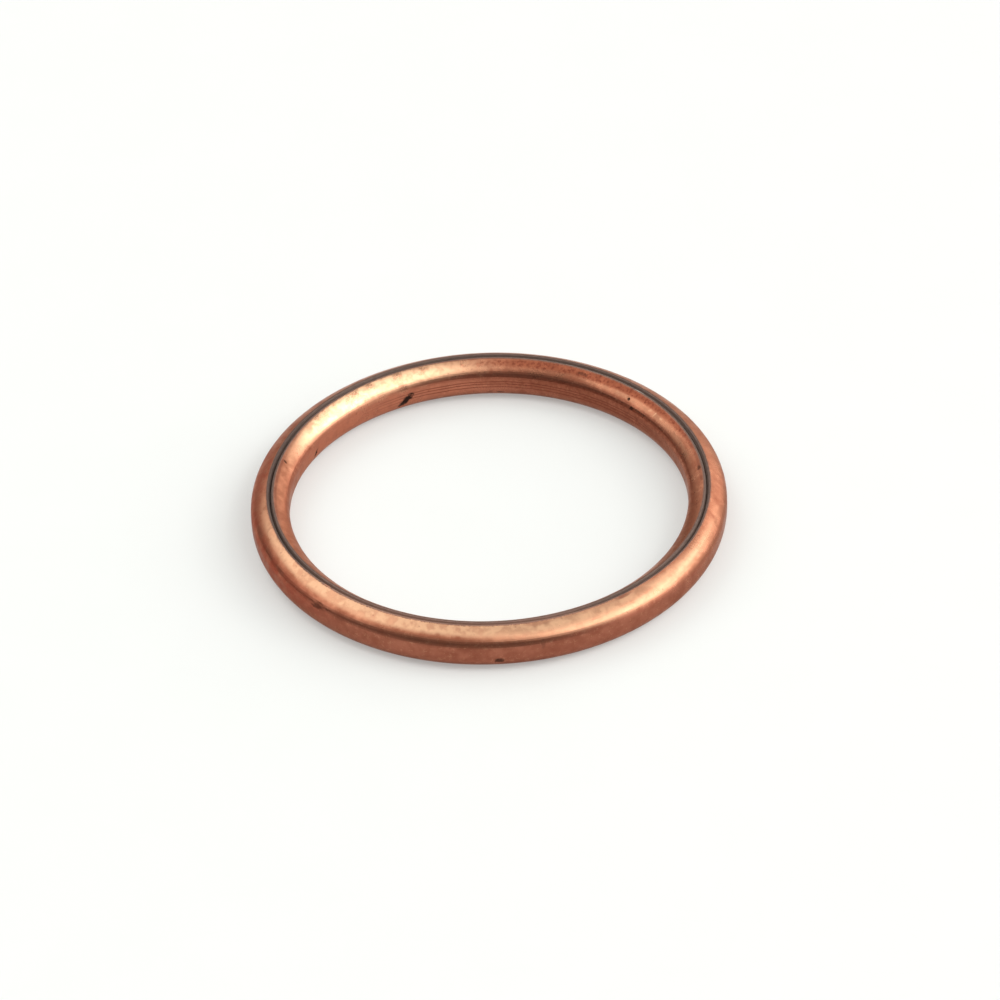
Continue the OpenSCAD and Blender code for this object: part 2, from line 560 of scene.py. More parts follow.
def unwrapped(tree, turn, along, face_column, steps):
    """The place of a corner in the flat layout, from how far round and along the skin it lies."""
    strips = float(UNWRAP_STRIPS)
    strip_length = 2 * math.pi * mid_r / MM / UNWRAP_STRIPS
    share = math_node(tree, "DIVIDE", math_node(tree, "FLOOR", face_column), steps)
    strip = math_node(tree, "FLOOR", math_node(tree, "MULTIPLY", share, strips))
    strip = on_domain(tree, "FLOAT", "FACE", strip)
    length_way = math_node(tree, "SUBTRACT", math_node(tree, "MULTIPLY", turn, strips), strip)
    walked_mm = math_node(tree, "SUBTRACT", walked[foot_index] / MM, along)
    across = math_node(tree, "DIVIDE", walked_mm, strip_length)
    width_way = math_node(tree, "MULTIPLY_ADD", strip, 1 / strips, across)
    square = add_node(tree, "ShaderNodeCombineXYZ", X=length_way, Y=width_way).outputs[0]
    inset = vector_node(tree, "SCALE", square, 1 - 2 * LAYOUT_MARGIN)
    return vector_node(tree, "ADD", inset, (LAYOUT_MARGIN, LAYOUT_MARGIN, 0.0))

# %% [markdown]
# Now the grid is bent. Each of its points finds its row, which is a point of the section, and its column,
# which is an angle. In front the roof leans towards the bore, so the seam there lies nearer to the bore, as
# on the real ring. Where the last column meets the first, the doubled points are joined.

# %% Bend the grid into a ring
LEAN_STARTS = (170.0, 235.0)
LEAN_ENDS = (305.0, 345.0)
SAME_POINT = 0.001 * MM


def bent_grid(tree, given):
    """The ring's closed surface, with each corner's place and each face's zone kept on it."""
    section = add_node(tree, "GeometryNodeObjectInfo", Object=given["Section"]).outputs["Geometry"]
    points = add_node(tree, "GeometryNodeAttributeDomainSize", {"component": "MESH"}, Geometry=section)
    rows = points.outputs["Point Count"]
    columns = math_node(tree, "ADD", given["Steps Round"], 1)
    grid = add_node(tree, "GeometryNodeMeshGrid", Vertices_X=columns, Vertices_Y=rows).outputs["Mesh"]

    index = tree.nodes.new("GeometryNodeInputIndex").outputs[0]
    point_index = on_domain(tree, "INT", "POINT", index)
    row = math_node(tree, "MODULO", point_index, rows)
    column = math_node(tree, "FLOOR", math_node(tree, "DIVIDE", point_index, rows))
    turn = math_node(tree, "DIVIDE", column, given["Steps Round"])
    angle = math_node(tree, "MULTIPLY", turn, 2 * math.pi)
    cosine = math_node(tree, "COSINE", angle)
    sine = math_node(tree, "SINE", angle)
    radial = add_node(tree, "ShaderNodeCombineXYZ", X=cosine, Y=sine).outputs[0]

    in_front = between(tree, math_node(tree, "MULTIPLY", turn, 360.0), LEAN_STARTS, LEAN_ENDS)
    lean = math_node(tree, "MULTIPLY", in_front, given["Seam Lean"])
    lean = math_node(tree, "MULTIPLY", lean, section_value(tree, section, "FLOAT", "lean", row))
    radius = math_node(tree, "SUBTRACT", given["Middle Radius"], lean)
    point = section_value(tree, section, "FLOAT_VECTOR", "position", row)
    place = turned_out(tree, point, radial, radius)
    ring = add_node(tree, "GeometryNodeSetPosition", Geometry=grid, Position=place).outputs[0]

    around = math_node(tree, "MULTIPLY", angle, math_node(tree, "DIVIDE", given["Middle Radius"], MM))
    along = section_value(tree, section, "FLOAT", "along", row)
    faces_per_column = math_node(tree, "SUBTRACT", rows, 1)
    face_row = math_node(tree, "MODULO", index, faces_per_column)
    face_column = math_node(tree, "DIVIDE", index, faces_per_column)
    pull = section_value(tree, section, "FLOAT_VECTOR", "pull", row)
    kept = [
        ("FLOAT2", "CORNER", "wrap", add_node(tree, "ShaderNodeCombineXYZ", X=around, Y=along).outputs[0]),
        ("FLOAT2", "CORNER", "OFBake", unwrapped(tree, turn, along, face_column, given["Steps Round"])),
        ("INT", "FACE", "zone", section_value(tree, section, "INT", "zone", face_row)),
        ("FLOAT_VECTOR", "POINT", "pull", turned_out(tree, pull, radial, 0.0)),
    ]
    for data_type, domain, name, value in kept:
        ring = keep_attribute(tree, ring, data_type, domain, name, value)
    joined = add_node(tree, "GeometryNodeMergeByDistance", Geometry=ring, Distance=SAME_POINT).outputs[0]
    return add_node(tree, "GeometryNodeFlipFaces", Mesh=joined).outputs[0]

# %% [markdown]
# Real sheet is never perfect. Noise presses shallow dents into the skin, and only ever inwards, so the ring
# can't grow out of its solid. The deep marks are pressed in too, and the lips are cut unevenly short.

# %% Dent the skin and cut the lips unevenly
DENT_RAGGED = 0.5


def noise_from(tree, given, size, seed_step, detail):
    """Noise from -1 to 1 that never repeats round the ring, because it reads the place in space."""
    position = tree.nodes.new("GeometryNodeInputPosition").outputs[0]
    seed = math_node(tree, "ADD", given["Seed"], seed_step)
    return centred(tree, noise_at(tree, position, given[size], detail, seed), 1.0)


def dented(tree, given, ring):
    """The ring with its dents pressed in and its lips cut unevenly short."""
    ragged = noise_from(tree, given, "Lip Wander Size", seed_step=2.5, detail=2.0)
    ragged = math_node(tree, "MULTIPLY", ragged, DENT_RAGGED)
    hollows = noise_from(tree, given, "Dent Size", seed_step=0.0, detail=2.0)
    hollows = math_node(tree, "MINIMUM", hollows, 0.0)
    press = math_node(tree, "MULTIPLY", hollows, given["Dent Depth"])
    wrap = stored_value(tree, "FLOAT_VECTOR", "wrap")
    options = {"node_tree": dent_mark}
    for each in DARK_MARKS.values():
        if each["depth"] > 0:
            mask = add_node(tree, "GeometryNodeGroup", options, Wrap=wrap, Ragged=ragged, **each["place"])
            press = math_node(tree, "MULTIPLY_ADD", mask.outputs[0], -each["depth"] * MM, press)
    normal = tree.nodes.new("GeometryNodeInputNormal").outputs["Normal"]
    dent = vector_node(tree, "SCALE", normal, press)

    # Noise from -1 to 1 becomes a share from -1 to 0, because a lip is only ever cut shorter
    uneven = noise_from(tree, given, "Lip Wander Size", seed_step=5.5, detail=3.0)
    shorten = math_node(tree, "MULTIPLY_ADD", uneven, 0.5, -0.5)
    wander = math_node(tree, "MULTIPLY", shorten, given["Lip Wander"])
    pulled = vector_node(tree, "SCALE", stored_value(tree, "FLOAT_VECTOR", "pull"), wander)
    move = vector_node(tree, "ADD", dent, pulled)
    return add_node(tree, "GeometryNodeSetPosition", Geometry=ring, Offset=move).outputs[0]

# %% [markdown]
# Last, the tree shades the bends smooth and the corners of the lips crisp, makes everything real geometry,
# and gives each zone its material.

# %% Crisp corners and materials
CRISP_ANGLE = math.radians(25)
ZONE_MATERIALS = {"inside": "Inside Material", "edge": "Edge Material", "skin": "Skin Material"}


def finished(tree, given, ring):
    corner = add_node(tree, "GeometryNodeInputMeshEdgeAngle").outputs["Unsigned Angle"]
    crisp = add_node(tree, "FunctionNodeCompare", {"operation": "GREATER_THAN"}, A=corner, B=CRISP_ANGLE)
    smooth = add_node(
        tree,
        "GeometryNodeSetShadeSmooth",
        {"domain": "EDGE"},
        Geometry=ring,
        Selection=crisp.outputs[0],
        Shade_Smooth=False,
    )
    ring = add_node(tree, "GeometryNodeRealizeInstances", Geometry=smooth.outputs[0]).outputs[0]
    same_zone = {"data_type": "INT", "operation": "EQUAL"}
    for name, label in ZONE_MATERIALS.items():
        zone = stored_value(tree, "INT", "zone")
        chosen = add_node(tree, "FunctionNodeCompare", same_zone, A=zone, B=ZONES[name]).outputs[0]
        inputs = {"Geometry": ring, "Selection": chosen, "Material": given[label]}
        ring = add_node(tree, "GeometryNodeSetMaterial", **inputs).outputs[0]
    return ring


def build_sweep():
    outputs = [("Ring", "NodeSocketGeometry")]
    tree, given, out = new_group("sweep_the_section", "GeometryNodeTree", SWEEP_INPUTS, outputs)
    ring = bent_grid(tree, given)
    ring = dented(tree, given, ring)
    ring = finished(tree, given, ring)
    tree.links.new(ring, out.inputs["Ring"])
    return tree


sweep = build_sweep()
print("sweep tree has", len(sweep.nodes), "nodes")

# %% [markdown]
# ## Finish of the copper
# The sheet was tumbled after pressing, so its surface is a mass of tiny soft dimples with a fine grain over
# them. A shader group makes that relief once, and the skin, the cut edges and the hollow inside all use it.
# The heights are real ones, in metres, so the light breaks up as it does on the ring.

# %% Relief group
def speckle(tree, size, detail, seed=0.0):
    """The same noise in a material, read from the place in space."""
    place = tree.nodes.new("ShaderNodeTexCoord").outputs["Object"]
    return noise_at(tree, place, size, detail, seed)


def build_relief():
    inputs = [
        ("Dimple Size", "NodeSocketFloat", 0.5 * MM),
        ("Dimple Depth", "NodeSocketFloat", 0.013 * MM),
        ("Grain Size", "NodeSocketFloat", 0.14 * MM),
        ("Grain Depth", "NodeSocketFloat", 0.003 * MM),
    ]
    outputs = [("Height", "NodeSocketFloat"), ("Dimples", "NodeSocketFloat"), ("Grain", "NodeSocketFloat")]
    tree, given, out = new_group("tumbled_relief", "ShaderNodeTree", inputs, outputs)
    dimples = speckle(tree, given["Dimple Size"], 2.0)
    grain = speckle(tree, given["Grain Size"], 2.0)
    coarse = math_node(tree, "MULTIPLY", dimples, given["Dimple Depth"])
    fine = math_node(tree, "MULTIPLY", grain, given["Grain Depth"])
    tree.links.new(math_node(tree, "ADD", coarse, fine), out.inputs["Height"])
    tree.links.new(dimples, out.inputs["Dimples"])
    tree.links.new(grain, out.inputs["Grain"])
    return tree


relief_group = build_relief()
print("relief group:", relief_group.name)

# %% [markdown]
# A material starts with its Principled shader, whose Specular Tint keeps the metal warm where it is seen at
# a slant. The bump comes last, because marks and lines add to its height. The helpers at the end read the
# map that the sweep has kept: one gives the distance along the skin, and one is 1 between two angles.

# %% Start and finish of a material
EDGE_TINT = (0.84, 0.72, 0.66, 1)

# A Mix node has sockets for every kind of value, and these are the ones for its share and its colours
MIX_SHARE, MIX_FIRST, MIX_SECOND, MIX_RESULT = 0, 6, 7, 2


def new_material(name, metallic):
    material = bpy.data.materials.new(name)
    material.use_nodes = True
    tree = material.node_tree
    shader = tree.nodes["Principled BSDF"]
    shader.inputs["Metallic"].default_value = metallic
    shader.inputs["Specular Tint"].default_value = EDGE_TINT
    relief = add_node(tree, "ShaderNodeGroup", {"node_tree": relief_group})
    return material, tree, shader, relief


def bumped(tree, shader, height):
    bump = add_node(tree, "ShaderNodeBump", Height=height, Distance=1.0)
    tree.links.new(bump.outputs[0], shader.inputs["Normal"])


def blend(tree, share, first, second):
    """The first colour where the share is 0, and the second where it is 1."""
    node = add_node(tree, "ShaderNodeMix", {"data_type": "RGBA"})
    for number, value in ((MIX_SHARE, share), (MIX_FIRST, first), (MIX_SECOND, second)):
        fill(tree, node.inputs[number], value)
    return node.outputs[MIX_RESULT]


def wrap_place(tree):
    return add_node(tree, "ShaderNodeUVMap", {"uv_map": "wrap"}).outputs[0]


def along_skin(tree):
    return parts_of(tree, wrap_place(tree))["Y"]


def within_degrees(tree, rise, fall):
    """1 on one part of the ring, which starts and ends softly between the given angles."""
    degrees = math_node(tree, "DIVIDE", parts_of(tree, wrap_place(tree))["X"], MM_PER_DEGREE)
    return between(tree, degrees, rise, fall)

# %% [markdown]
# The colours use the group that the dents use. A worn area is one mask, and stains that overlap show the
# strongest one, so that they don't add up to black.

# %% Marks as masks in a material
def placed(tree, spot, ragged):
    options = {"node_tree": colour_mark}
    place = wrap_place(tree)
    return add_node(tree, "ShaderNodeGroup", options, Wrap=place, Ragged=ragged, **spot["place"]).outputs[0]


def shown(tree, spot, ragged):
    """The mask of one mark, times its strength."""
    return math_node(tree, "MULTIPLY", placed(tree, spot, ragged), spot["strength"])


def strongest(tree, spots, ragged):
    """The strongest of several marks at each point."""
    total = 0.0
    for spot in spots:
        total = math_node(tree, "MAXIMUM", total, shown(tree, spot, ragged))
    return total

# %% [markdown]
# ### The copper skin
# Handled copper is never one colour. Broad patches have tarnished more than others, the walls are painted
# darker and redder than the roof as painted shade, and the tops of the grain are rubbed bright.

# %% Tarnish and rubbed grain
# The walls' colours are darker and redder than the roof's, as painted shade
SHADED_WALL_CLEAN = (0.39, 0.137, 0.085, 1)
SHADED_WALL_TARNISHED = (0.285, 0.089, 0.053, 1)
ROOF_CLEAN = (0.46, 0.184, 0.103, 1)
ROOF_TARNISHED = (0.31, 0.103, 0.056, 1)
RUBBED_GRAIN = (0.57, 0.262, 0.152, 1)
RUBBED_TOPS = (0.53, 0.64)
RUBBED_STRENGTH = 0.35

# Where the walls' painted shade ends and the roof's colour is full, in millimetres along the skin
ROOF_STARTS = (3.6, 4.6)


def base_copper(tree, tarnish, dimples, grain):
    on_shaded_walls = blend(tree, tarnish, SHADED_WALL_CLEAN, SHADED_WALL_TARNISHED)
    on_roof_sides = blend(tree, tarnish, ROOF_CLEAN, ROOF_TARNISHED)
    roof = eased(tree, math_node(tree, "ABSOLUTE", along_skin(tree)), *ROOF_STARTS)
    colour = blend(tree, roof, on_shaded_walls, on_roof_sides)
    rubbed = eased(tree, weighted(tree, grain, 0.5, dimples, 0.5), *RUBBED_TOPS)
    return blend(tree, math_node(tree, "MULTIPLY", rubbed, RUBBED_STRENGTH), colour, RUBBED_GRAIN)

# %% [markdown]
# The worn areas, with the painted highlights, light and shade among them, come on top, broken up into
# blotches. At the back right, on the bore's side, lies a brown patina with darker flecks, and small brown
# specks lie all over the ring.

# %% Worn areas, painted light, patina and specks
AREA_RAGGED = 0.4
BLOTCHES = {"start": 0.4, "end": 0.6, "low": 0.55, "high": 1.15}
PATINA = (0.24, 0.068, 0.034, 1)
FLECK_COLOUR = (0.15, 0.036, 0.02, 1)
FLECK_SIZE = 0.26 * MM
FLECK_LEVELS = (0.42, 0.66)
SPECK_COLOUR = (0.2, 0.055, 0.032, 1)
SPECK_SIZE = 0.3 * MM
SPECK_LEVELS = (0.68, 0.78)
SPECK_STRENGTH = 0.4


def with_wear_and_painted_light(tree, colour, mottle):
    cloudy = centred(tree, mottle, AREA_RAGGED)
    blotches = eased(tree, mottle, **BLOTCHES)
    # Each area is wear or painted highlight, light or shade, laid on as blotches
    for area, area_colour in WEAR_AND_PAINTED_LIGHT.values():
        share = math_node(tree, "MULTIPLY", shown(tree, area, cloudy), blotches)
        colour = blend(tree, share, colour, area_colour)
    patina = strongest(tree, PATINAS, cloudy)
    colour = blend(tree, patina, colour, PATINA)
    flecks = eased(tree, speckle(tree, FLECK_SIZE, detail=3.0, seed=53.0), *FLECK_LEVELS)
    colour = blend(tree, math_node(tree, "MULTIPLY", flecks, patina), colour, FLECK_COLOUR)
    specks = eased(tree, speckle(tree, SPECK_SIZE, detail=1.0, seed=31.0), *SPECK_LEVELS)
    return blend(tree, math_node(tree, "MULTIPLY", specks, SPECK_STRENGTH), colour, SPECK_COLOUR)

# %% [markdown]
# Three thin lines in the bore were left by the press tool. They waver a little, and fade out towards the
# front. Next to the seam the shears have smeared the copper grey, with a ragged boundary.

# %% Lines in the bore and the smear at the seam
# Angles are in degrees round the ring, and the rest is in millimetres along the skin
BORE_LINES = (-3.2, -2.93, -2.6)
BORE_LINES_START = (25.0, 45.0)
BORE_LINES_END = (100.0, 135.0)
LINE_FADE = (0.07, 0.015)
LINE_WAVER = 0.15
SMEAR_WIDTH = 0.14
SMEAR_RAGGED = 0.15


def bore_lines(tree, waver):
    along = along_skin(tree)
    total = 0.0
    for middle in BORE_LINES:
        line = math_node(tree, "ADD", centred(tree, waver, LINE_WAVER), middle)
        away = math_node(tree, "ABSOLUTE", math_node(tree, "SUBTRACT", along, line))
        total = math_node(tree, "MAXIMUM", total, eased(tree, away, *LINE_FADE))
    return math_node(tree, "MULTIPLY", total, within_degrees(tree, BORE_LINES_START, BORE_LINES_END))


def lip_smear(tree, grain):
    """How grey the copper is next to the seam."""
    along = along_skin(tree)
    from_outer = math_node(tree, "SUBTRACT", outer_lip, along)
    from_inner = math_node(tree, "SUBTRACT", along, inner_lip)
    away = math_node(tree, "MINIMUM", from_outer, from_inner)
    uneven = math_node(tree, "ADD", away, centred(tree, grain, SMEAR_RAGGED))
    return eased(tree, uneven, SMEAR_WIDTH, 0.0)

# %% [markdown]
# The skin puts these together. Tarnish and stains are rougher than clean metal, and stains lie a little
# lower. On the left and in front the relief is handled smoother, so the highlights there run on unbroken.

# %% Copper skin
PATCH_SIZE = 3.2 * MM
MOTTLE_SIZE = 0.9 * MM
TARNISH_LEVELS = (0.3, 0.7)
STAIN_GRAIN_SIZE = 0.25 * MM
STAIN_RAGGED = 0.8
TOOL_LINE = (0.16, 0.036, 0.022, 1)
LINE_STRENGTH = 0.8
LINE_DEPTH = 0.003 * MM
STAIN = (0.035, 0.017, 0.013, 1)
STAIN_DEPTH = 0.03 * MM
GREY_SMEAR = (0.3, 0.15, 0.105, 1)
SKIN_ROUGHNESS = (0.24, 0.41)
STAIN_ROUGHNESS = 0.2
SMOOTHED_START = (140.0, 180.0)
SMOOTHED_END = (300.0, 345.0)
RELIEF_LOST = 0.45
ROUGHNESS_GAINED = 0.04


def copper_skin():
    material, tree, shader, relief = new_material("tumbled_copper", metallic=1.0)
    dimples = relief.outputs["Dimples"]
    grain = relief.outputs["Grain"]
    patches = speckle(tree, PATCH_SIZE, detail=3.0, seed=11.0)
    mottle = speckle(tree, MOTTLE_SIZE, detail=3.0, seed=23.0)
    tarnish = eased(tree, weighted(tree, mottle, 0.6, patches, 0.4), *TARNISH_LEVELS)
    colour = base_copper(tree, tarnish, dimples, grain)
    colour = with_wear_and_painted_light(tree, colour, mottle)

    lines = bore_lines(tree, patches)
    colour = blend(tree, math_node(tree, "MULTIPLY", lines, LINE_STRENGTH), colour, TOOL_LINE)
    ragged = centred(tree, speckle(tree, STAIN_GRAIN_SIZE, detail=2.0, seed=41.0), STAIN_RAGGED)
    stain = strongest(tree, DARK_MARKS.values(), ragged)
    colour = blend(tree, stain, colour, STAIN)
    smear = lip_smear(tree, grain)
    tree.links.new(blend(tree, smear, colour, GREY_SMEAR), shader.inputs["Base Color"])

    smoothed = within_degrees(tree, SMOOTHED_START, SMOOTHED_END)
    rough = eased(tree, weighted(tree, tarnish, 0.5, grain, 0.5), 0.2, 0.8, *SKIN_ROUGHNESS)
    dirt_and_shade = math_node(tree, "MAXIMUM", stain, smear)
    rough = math_node(tree, "MULTIPLY_ADD", dirt_and_shade, STAIN_ROUGHNESS, rough)
    rough = math_node(tree, "MULTIPLY_ADD", smoothed, ROUGHNESS_GAINED, rough)
    tree.links.new(rough, shader.inputs["Roughness"])

    kept_relief = math_node(tree, "MULTIPLY_ADD", smoothed, -RELIEF_LOST, 1.0)
    height = math_node(tree, "MULTIPLY", relief.outputs["Height"], kept_relief)
    height = math_node(tree, "MULTIPLY_ADD", stain, -STAIN_DEPTH, height)
    bumped(tree, shader, math_node(tree, "MULTIPLY_ADD", lines, -LINE_DEPTH, height))
    return material


copper = copper_skin()
print("nodes in the copper:", len(copper.node_tree.nodes))

# %% [markdown]
# ### The cut edges
# Shears leave a grey-brown, dirty face with fine streaks along it, and a browner bevel above it. In front
# both faces are painted lighter, as painted light, and the outer lip is painted as a highlight, but at the
# left the outer lip is painted dark, as painted shade. At the back the inner lip is burnished, and a thin
# broken line of painted glints shows on it. A small nick at the front left has turned up a bit of bare
# copper.

# %% Colours and places on the cut edges
BEVEL_COLOURS = ((0.1, 0.055, 0.04, 1), (0.18, 0.1, 0.074, 1))
FACE_COLOURS = ((0.115, 0.076, 0.06, 1), (0.23, 0.16, 0.13, 1))
# Cut faces painted lighter in front, as painted light
LIT_FRONT_FACE_COLOURS = ((0.22, 0.13, 0.1, 1), (0.38, 0.23, 0.175, 1))
# A painted highlight on the outer lip in front
LIT_LIP_COLOURS = ((0.32, 0.18, 0.125, 1), (0.44, 0.25, 0.18, 1))
# Painted shade on the outer lip at the left
SHADED_LIP = (0.06, 0.038, 0.03, 1)
TURNED_UP_COPPER = (0.5, 0.22, 0.13, 1)
# A light grey for the burnished inner lip, which also paints glints on it
BURNISHED_GLINTS_METAL = (0.5, 0.43, 0.38, 1)
EDGE_ROUGHNESS = (0.7, 0.5)

LIT_FRONT_FACE_AREA = ((205.0, 245.0), (280.0, 305.0))
LIT_LIP_AREA = ((205.0, 235.0), (285.0, 310.0))
LIT_LIP_STRENGTH = 0.75
SHADED_LIP_AREA = ((125.0, 155.0), (200.0, 225.0))
SHADED_LIP_STRENGTH = 0.6
LIP_NICK = mark(222.4, 5.66, 0.4, 0.16, 0, 1.0)
# Painted glints along the burnished inner lip at the back
BURNISHED_GLINTS = [mark(68, -5.76, 9.5, 0.055, 0, 0.6), mark(43.5, -5.74, 0.5, 0.09, 0, 0.9)]

# Places in space are in metres, and so are these two
STREAK_LENGTH = 0.45 * MM
STREAK_DEPTH = 0.012 * MM

# Distances along the skin are in millimetres, and so are these three
STREAK_WIDTH = 0.08
BEVEL_ENDS = (0.03, 0.26)
BEVEL_WAVER = 0.1
print("burnished places with painted glints:", len(BURNISHED_GLINTS))

# %% [markdown]
# The streaks are a noise that is pressed flat: it changes quickly along the section and slowly round the
# ring. Most colours of the edge are pairs, a dark one and a light one, which the streaks mix.

# %% Cut edges
def shear_streaks(tree, along):
    place = parts_of(tree, tree.nodes.new("ShaderNodeTexCoord").outputs["Object"])
    pressed = add_node(
        tree,
        "ShaderNodeCombineXYZ",
        X=math_node(tree, "DIVIDE", place["X"], STREAK_LENGTH),
        Y=math_node(tree, "DIVIDE", place["Y"], STREAK_LENGTH),
        Z=math_node(tree, "DIVIDE", along, STREAK_WIDTH),
    )
    return add_node(tree, "ShaderNodeTexNoise", Vector=pressed.outputs[0], Scale=1.0, Detail=3.0).outputs[0]


def edge_colour(tree, along, streaks):
    into_outer = math_node(tree, "SUBTRACT", along, outer_lip)
    into_inner = math_node(tree, "SUBTRACT", inner_lip, along)
    depth = math_node(tree, "MAXIMUM", into_outer, into_inner)
    on_face = eased(tree, math_node(tree, "MULTIPLY_ADD", streaks, BEVEL_WAVER, depth), *BEVEL_ENDS)
    bevel = blend(tree, streaks, *BEVEL_COLOURS)
    face = blend(tree, streaks, *FACE_COLOURS)
    lit_front_face = blend(tree, streaks, *LIT_FRONT_FACE_COLOURS)
    # Painted light: the cut faces are lighter in front
    face = blend(tree, within_degrees(tree, *LIT_FRONT_FACE_AREA), face, lit_front_face)
    colour = blend(tree, on_face, bevel, face)

    # The distance along the skin is positive on the outer side and negative on the bore's
    on_outer_lip = math_node(tree, "GREATER_THAN", along, 0.0)
    # A painted highlight on the outer lip in front, and painted shade on it at the left
    lit_lip_share = math_node(tree, "MULTIPLY", on_outer_lip, within_degrees(tree, *LIT_LIP_AREA))
    lit_lip = blend(tree, streaks, *LIT_LIP_COLOURS)
    colour = blend(tree, math_node(tree, "MULTIPLY", lit_lip_share, LIT_LIP_STRENGTH), colour, lit_lip)
    dirt_and_shade = math_node(tree, "MULTIPLY", on_outer_lip, within_degrees(tree, *SHADED_LIP_AREA))
    colour = blend(tree, math_node(tree, "MULTIPLY", dirt_and_shade, SHADED_LIP_STRENGTH), colour, SHADED_LIP)

    ragged = centred(tree, streaks, STAIN_RAGGED)
    colour = blend(tree, shown(tree, LIP_NICK, ragged), colour, TURNED_UP_COPPER)
    # Painted glints on the burnished inner lip
    for glint_mark in BURNISHED_GLINTS:
        colour = blend(tree, shown(tree, glint_mark, ragged), colour, BURNISHED_GLINTS_METAL)
    return colour


def sheared_edge():
    material, tree, shader, relief = new_material("sheared_edge", metallic=0.3)
    along = along_skin(tree)
    streaks = shear_streaks(tree, along)
    tree.links.new(edge_colour(tree, along, streaks), shader.inputs["Base Color"])
    tree.links.new(eased(tree, streaks, 0.3, 0.7, *EDGE_ROUGHNESS), shader.inputs["Roughness"])
    bumped(tree, shader, math_node(tree, "MULTIPLY_ADD", streaks, STREAK_DEPTH, relief.outputs["Height"]))
    return material


edge_metal = sheared_edge()
print("nodes in the cut edges:", len(edge_metal.node_tree.nodes))

# %% [markdown]
# ### The hollow inside
# Inside the fold nothing has touched the sheet since it was pressed. It is dull and brown, and only a sliver
# of it shows at the bottom of the seam.

# %% Hollow inside
HOLLOW_COLOURS = ((0.13, 0.06, 0.04, 1), (0.26, 0.11, 0.07, 1))
HOLLOW_ROUGHNESS = 0.5


def hollow_inside():
    material, tree, shader, relief = new_material("hollow_inside", metallic=0.8)
    shader.inputs["Roughness"].default_value = HOLLOW_ROUGHNESS
    tree.links.new(blend(tree, relief.outputs["Dimples"], *HOLLOW_COLOURS), shader.inputs["Base Color"])
    bumped(tree, shader, relief.outputs["Height"])
    return material


inside_metal = hollow_inside()
print("materials:", [m.name for m in (copper, edge_metal, inside_metal)])

# %% [markdown]
# ## Make the ring
# The modifier gets its inputs by their identifiers, the object is evaluated once, and the result is kept as
# a plain mesh. The helper line has done its work then and goes.

# %% Sweep the ring
def swept(name, tree, values):
    """A plain mesh object made by a tree of nodes from the given inputs."""
    maker = bpy.data.objects.new("maker", bpy.data.meshes.new("maker"))
    bpy.context.scene.collection.objects.link(maker)
    modifier = maker.modifiers.new("sweep", "NODES")
    modifier.node_group = tree
    identifiers = {i.name: i.identifier for i in tree.interface.items_tree if i.in_out == "INPUT"}
    for label, value in values.items():
        modifier[identifiers[label]] = value
    bpy.context.view_layer.update()
    depsgraph = bpy.context.evaluated_depsgraph_get()
    mesh = bpy.data.meshes.new_from_object(maker.evaluated_get(depsgraph))
    bpy.data.objects.remove(maker)
    mesh.name = name
    piece = bpy.data.objects.new(name, mesh)
    bpy.context.scene.collection.objects.link(piece)
    return piece


ring_inputs = {
    "Section": section_line,
    "Skin Material": copper,
    "Edge Material": edge_metal,
    "Inside Material": inside_metal,
}
ring = swept("copper_ring", sweep, ring_inputs)
bpy.data.objects.remove(section_line)
triangles = sum(len(face.vertices) - 2 for face in ring.data.polygons)
print("ring:", len(ring.data.vertices), "points,", triangles, "triangles")

# %% [markdown]
# ## Floor
# The ring lies on plain white paper that runs on behind it, far enough for low views too. The paper has a
# faint tooth, so it isn't a dead flat colour. It also glows a little, but only for the camera and in
# reflections. That keeps it white and fills the shadow, and the lamps can stay at the level that suits the
# copper.

# %% Paper floor
FLOOR_HALF = 3.0
PAPER_COLOURS = ((0.815, 0.833, 0.797, 1), (0.837, 0.855, 0.823, 1))
PAPER_CLOUD_SIZE = 9 * MM
PAPER_ROUGHNESS = 0.9
PAPER_SHINE = 0.2
TOOTH_SIZE = 0.4 * MM
TOOTH_DEPTH = 0.006 * MM
PAPER_GLOW = (1, 1, 0.98, 1)
PAPER_GLOW_SHARE = 0.32


def white_paper():
    paper = bpy.data.materials.new("white_paper")
    paper.use_nodes = True
    tree = paper.node_tree
    shader = tree.nodes["Principled BSDF"]
    shader.inputs["Roughness"].default_value = PAPER_ROUGHNESS
    shader.inputs["Specular IOR Level"].default_value = PAPER_SHINE
    clouds = speckle(tree, PAPER_CLOUD_SIZE, detail=2.0)
    tooth = speckle(tree, TOOTH_SIZE, detail=2.0)
    tree.links.new(blend(tree, clouds, *PAPER_COLOURS), shader.inputs["Base Color"])
    bumped(tree, shader, math_node(tree, "MULTIPLY", tooth, TOOTH_DEPTH))

    glow = add_node(tree, "ShaderNodeEmission", Color=PAPER_GLOW, Strength=1.0)
    path = tree.nodes.new("ShaderNodeLightPath").outputs
    seen = math_node(tree, "MAXIMUM", path["Is Camera Ray"], path["Is Glossy Ray"])
    both = tree.nodes.new("ShaderNodeMixShader")
    tree.links.new(math_node(tree, "MULTIPLY", seen, PAPER_GLOW_SHARE), both.inputs[0])
    tree.links.new(shader.outputs[0], both.inputs[1])
    tree.links.new(glow.outputs[0], both.inputs[2])
    tree.links.new(both.outputs[0], tree.nodes["Material Output"].inputs["Surface"])
    return paper


def build_floor():
    mesh = bpy.data.meshes.new("floor")
    corners = [(-1, -1), (1, -1), (1, 1), (-1, 1)]
    mesh.from_pydata([(x * FLOOR_HALF, y * FLOOR_HALF, 0) for x, y in corners], [], [(0, 1, 2, 3)])
    mesh.materials.append(white_paper())
    floor = bpy.data.objects.new("floor", mesh)
    bpy.context.scene.collection.objects.link(floor)
    return floor


floor = build_floor()
print("floor reaches", FLOOR_HALF, "m each way")

